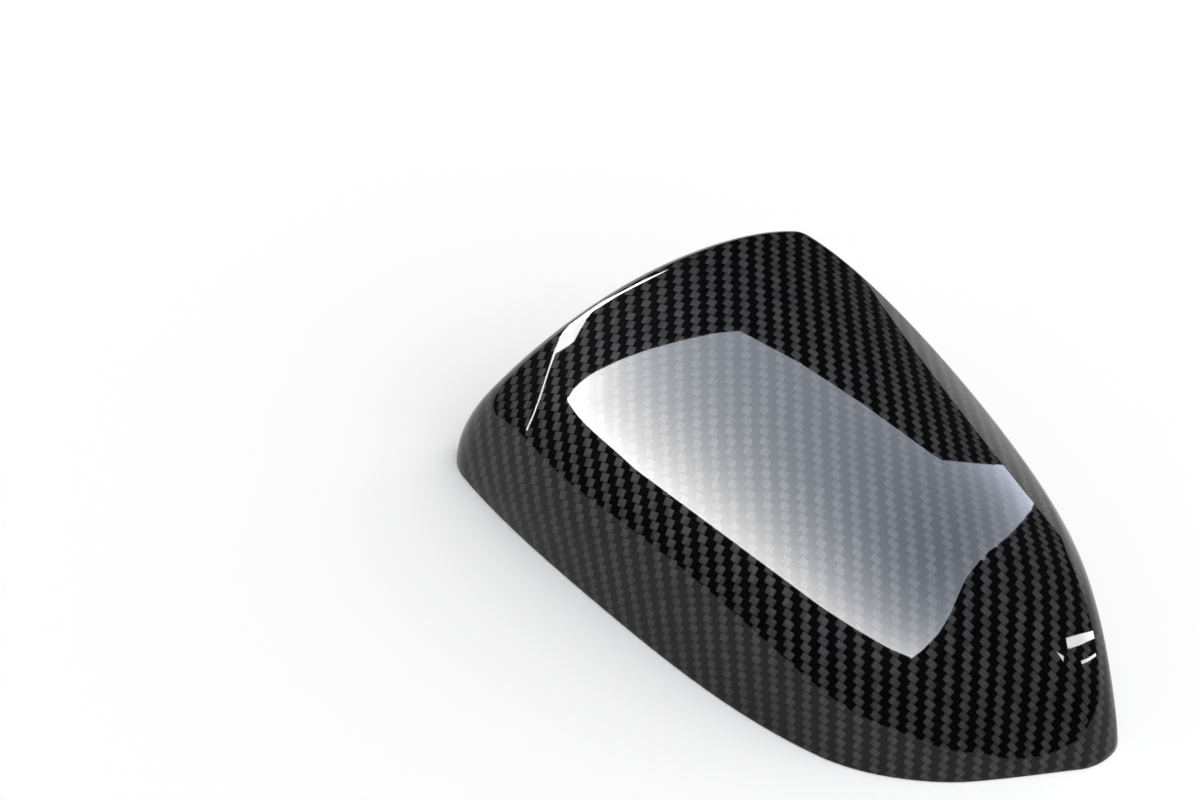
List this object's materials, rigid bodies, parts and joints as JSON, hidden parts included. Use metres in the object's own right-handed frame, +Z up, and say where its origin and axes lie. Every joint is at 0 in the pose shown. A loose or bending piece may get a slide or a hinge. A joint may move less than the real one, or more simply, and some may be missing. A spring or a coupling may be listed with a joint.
{
  "type": "wing mirror cover",
  "caption": "Thin glossy shell that caps the back of a car's wing mirror, domed and wedge-shaped, closed on all sides and open at its flat rim.",
  "frame": {"origin": "middle of the shell's box, on the plane of the rim", "axes": "+X from the narrow tip to the back corner, +Z up through the outer skin, rim on z = 0"},
  "size_m": [0.2296, 0.1328, 0.0771],
  "materials": {
    "laminate": "woven carbon-fibre laminate in a 2x2 twill under a polished clear coat; matt inside"
  },
  "bodies": {
    "root": {"shell": "laminate"}
  },
  "joints": []
}
